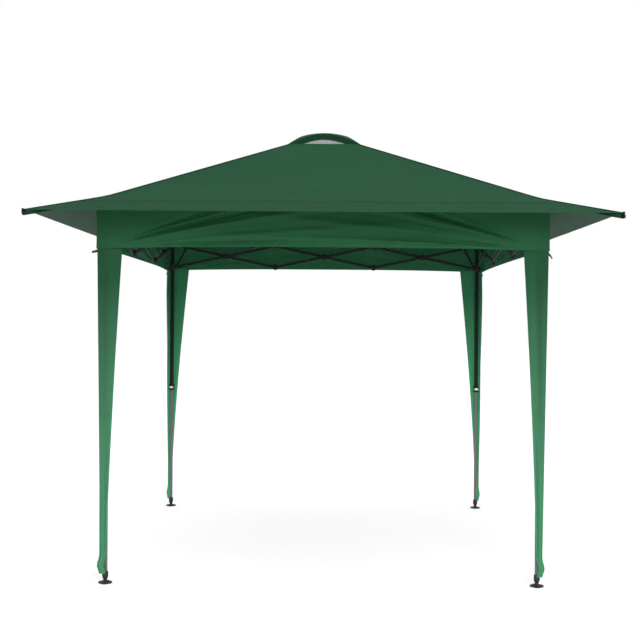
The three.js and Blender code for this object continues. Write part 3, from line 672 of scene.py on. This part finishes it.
def cap_point(p, q, half=CAP_HALF):
    """A place on the cap, p and q running from 0 in its middle to 1 at its edges. Its free edges arch
    upwards, and so they draw in between the corners, which lie on the hips."""
    across, along = np.cos(np.pi / 2 * p), np.cos(np.pi / 2 * q)
    x = -half * p * (1 + CAP_CORNER * (p * q) ** 2 - CAP_PULL * along * p ** 2)
    y = -half * q * (1 + CAP_CORNER * (p * q) ** 2 - CAP_PULL * across * q ** 2)
    arch = np.maximum(across + along - across * along, 0)
    z = VENT_EDGE + 0.003 + CAP_RISE * arch ** 1.1 + CAP_CROWN * across * along
    return x, y, z - 0.012 * (p * q) ** 4


def cap_edge(s, half=CAP_HALF):
    """A place on the cap's edge: s runs from the left side's middle, -1, to the front's, 1."""
    return cap_point(np.clip(1 - s, 0, 1), np.clip(1 + s, 0, 1), half)


def cap_pieces(corner):
    """A quarter of the cap, with its band and the net below it."""
    leg = LEGS[corner]

    def top(p, q):
        return quarter(np.stack(cap_point(p, q), -1), corner)

    def band_bottom(high, s):
        return np.maximum(high - CAP_BAND, VENT_EDGE - 0.004 - 0.012 * (1 - np.abs(s)) ** 4)

    def band(drop, s):
        x, y, high = cap_edge(s, CAP_HALF + 0.0012)
        low = band_bottom(high, s)
        return quarter(np.stack([x, y, high - 0.0005 + (low - high) * drop], -1), corner)

    def net(drop, s):
        x, y, high = cap_edge(s, CAP_HALF - 0.003)
        low = band_bottom(high, s) + 0.006
        inside = VENT_HALF - 0.002
        foot_x = np.where(s > 0, -inside * (1 - s), -inside)
        foot_y = np.where(s > 0, -inside, -inside * (1 + s))
        x, y = x + (foot_x - x) * drop, y + (foot_y - y) * drop
        return quarter(np.stack([x, y, low + (VENT_EDGE - 0.003 - low) * drop], -1), corner)

    steps = np.linspace(0, 1, 21)
    around = np.linspace(-1, 1, 41)
    outward = turned((-1, -1, 0), corner)
    pieces = [
        shell(f"vent_cap_top_{leg}", top, steps, steps, (0, 0, 1), (ROOF, INSIDE)),
        shell(f"vent_cap_band_{leg}", band, np.linspace(0, 1, 9), around, outward, (PAINTED_SHADE_BAND, INSIDE)),
        shell(f"vent_net_{leg}", net, np.linspace(0, 1, 7), around, outward, (NET, NET), cloth=0.0006),
    ]
    for piece, material_slot in zip(pieces, ("canopy_fabric", "canopy_fabric", "vent_net")):
        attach(piece, f"rafter_inner_{leg}")
        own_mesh(piece)
    return pieces


caps = [cap_pieces(corner) for corner in range(4)]
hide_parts("vent_cap")
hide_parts("vent_mesh")


# ---- straps at the valance's lower corners ----

STRAP_WIDTH = 0.016


def strap(corner, leg, length, rise, fall):
    """The loose end of the strap that ties the valance to its leg, standing off the corner."""

    def surface(t, s):
        out = length * t
        x = -VALANCE_HALF + 0.004 - out
        y = -VALANCE_HALF + 0.012 + 0.002 * np.sin(4 * t + s)
        z = VALANCE_BOTTOM - 0.012 + rise * out - fall * t ** 2 + s * STRAP_WIDTH / 2 * (1 - 0.3 * t)
        place = [y, x, z] if corner % 2 else [x, y, z]
        return quarter(np.stack(place, -1), corner)

    outward = turned((-1, 0, 0) if corner % 2 else (0, -1, 0), corner)
    piece = shell(f"valance_strap_{leg}", surface, np.linspace(0, 1, 13), np.linspace(-1, 1, 5),
                  outward, (STRAP, STRAP), cloth=0.004)
    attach(piece, f"leg_{leg}")


strap(0, "front_left", 0.034, -0.25, 0.0)
strap(1, "front_right", 0.022, -1.1, 0.006)
strap(2, "rear_right", 0.010, -2.0, 0.0)
strap(3, "rear_left", 0.009, -2.2, 0.0)


# ---- the washers of the scissors' pivots ----

# a washer's outline: radius, and share of its reach along the pivot
WASHER = [(0.0, 1.0), (0.008, 0.97), (0.013, 0.86), (0.022, 0.84), (0.0245, 0.70)]
WASHER_SIDES = 28
SMALLEST_RING = 0.0002


def washer_stack(name, body, place, axis, reach):
    """The round washers either side of a pivot's bars, reaching that far each way along its axis."""
    profile = WASHER + [(radius, -share) for radius, share in reversed(WASHER)]
    along = Vector(axis).normalized()
    first = along.cross(Vector((0, 0, 1)))
    second = along.cross(first)
    points = []
    for radius, share in profile:
        for turn in range(WASHER_SIDES):
            angle = 2 * math.pi * turn / WASHER_SIDES
            out = first * math.cos(angle) + second * math.sin(angle)
            points.append(Vector(place) + along * reach * share + out * max(radius, SMALLEST_RING))
    faces = [tuple(range(WASHER_SIDES)), tuple(reversed(range(len(points) - WASHER_SIDES, len(points))))]
    for ring in range(len(profile) - 1):
        for turn in range(WASHER_SIDES):
            after = (turn + 1) % WASHER_SIDES
            low, high = ring * WASHER_SIDES, (ring + 1) * WASHER_SIDES
            faces.append((low + after, low + turn, high + turn, high + after))
    mesh = bpy.data.meshes.new(name)
    mesh.from_pydata(points, [], faces)
    mesh.validate()
    mesh.materials.append(SLOT_LOOKS["frame_paint"])
    piece = bpy.data.objects.new(name, mesh)
    bpy.context.collection.objects.link(piece)
    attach(piece, body)


def washers():
    """Washers on every pivot along the four sides, each riding on one of the bars it joins."""
    low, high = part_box("scissor_front_rising_1")
    out, reach = (low[1] + high[1]) / 2, (high[1] - low[1]) / 2
    crossing, _, middle = JOINTS["front_crossing_1"]["pos_m"]
    pivot, _, top = JOINTS["front_upper_pivot"]["pos_m"]
    bottom = JOINTS["front_lower_pivot"]["pos_m"][2]
    places = [("rising_1", crossing, middle), ("falling_2", pivot, top), ("rising_2", pivot, bottom),
              ("rising_2", 0.0, middle), ("rising_2", -pivot, top), ("falling_2", -pivot, bottom),
              ("falling_3", -crossing, middle)]
    for turns, side in enumerate(SIDES):
        for number, (bar, along, height) in enumerate(places):
            place = turned((along, out, height), turns)
            axis = turned((0, 1, 0), turns)
            washer_stack(f"washers_{side}_{number + 1}", f"scissor_{side}_{bar}", place, axis, reach)


washers()


# ---- the frame's finish ----


WELD_WITHIN = 0.00002
ROUNDED_EDGE = 0.0008


def finish_frame():
    """Gives the frame's nodes their materials, and rounds the edges of the moulded ones."""
    slots = {part["node"]: part["material_slot"] for part in frame["record"]["subparts"]}
    for name, node in frame["nodes"].items():
        look = SLOT_LOOKS.get(slots[name])
        if look is None:
            continue
        node.data.materials.clear()
        node.data.materials.append(look)
        if name.startswith(("foot_", "slider_", "hub", "leg_button")):
            weld = node.modifiers.new("weld", "WELD")
            weld.merge_threshold = WELD_WITHIN
            bevel = node.modifiers.new("edges", "BEVEL")
            bevel.width = ROUNDED_EDGE
            bevel.segments = 2
            bevel.limit_method = "ANGLE"
            bevel.angle_limit = math.radians(35)


finish_frame()


# ---- floor, light and camera ----


def floor():
    """A plain pale floor that runs out of sight."""
    n = Nodes("studio_floor")
    patches = n.noise(n.place(), 0.6)
    n.set(n.shader, "Base Color", n.mix(patches, (0.80, 0.80, 0.80, 1), (0.84, 0.84, 0.84, 1)))
    n.set(n.shader, "Roughness", 0.9)
    n.set(n.shader, "Specular IOR Level", 0.1)
    n.set(n.shader, "Emission Color", (1, 1, 1, 1))
    n.set(n.shader, "Emission Strength", 0.34)
    mesh = bpy.data.meshes.new("studio_floor")
    far = 60.0
    mesh.from_pydata([(-far, -far, 0), (far, -far, 0), (far, far, 0), (-far, far, 0)], [], [(0, 1, 2, 3)])
    mesh.materials.append(n.material)
    plane = bpy.data.objects.new("studio_floor", mesh)
    plane.location.z = -0.0008
    bpy.context.collection.objects.link(plane)


def area_light(name, place, size, power, aim=(0, 0, 1.4)):
    data = bpy.data.lights.new(name, "AREA")
    data.shape = "DISK"
    data.size = size
    data.energy = power
    lamp = bpy.data.objects.new(name, data)
    lamp.location = place
    lamp.rotation_mode = "QUATERNION"
    lamp.rotation_quaternion = (Vector(aim) - Vector(place)).to_track_quat("-Z", "Y")
    bpy.context.collection.objects.link(lamp)


def studio():
    """Even white light all round, and one soft lamp in front."""
    world = bpy.data.worlds.new("studio")
    bpy.context.scene.world = world
    world.use_nodes = True
    background = world.node_tree.nodes["Background"]
    background.inputs["Color"].default_value = (1, 1, 1, 1)
    background.inputs["Strength"].default_value = 1.0
    area_light("key", (2.4, -9.6, 4.6), 3.0, 430, aim=(0, 0, 1.8))
    bpy.context.scene.view_settings.view_transform = "Standard"


CAMERA_PLACE = (0.0361, -7.4257, 1.5717)
CAMERA_LENS = 57.985
CAMERA_YAW = 0.0081
CAMERA_PITCH = 0.0007
CAMERA_ROLL = 0.0066


def camera():
    data = bpy.data.cameras.new("camera")
    data.lens = CAMERA_LENS
    data.sensor_width = 36
    eye = bpy.data.objects.new("camera", data)
    level = Matrix.Rotation(CAMERA_YAW, 4, "Z") @ Matrix.Rotation(math.pi / 2 + CAMERA_PITCH, 4, "X")
    eye.matrix_world = Matrix.Translation(CAMERA_PLACE) @ level @ Matrix.Rotation(CAMERA_ROLL, 4, "Z")
    bpy.context.collection.objects.link(eye)
    bpy.context.scene.camera = eye


floor()
studio()
camera()
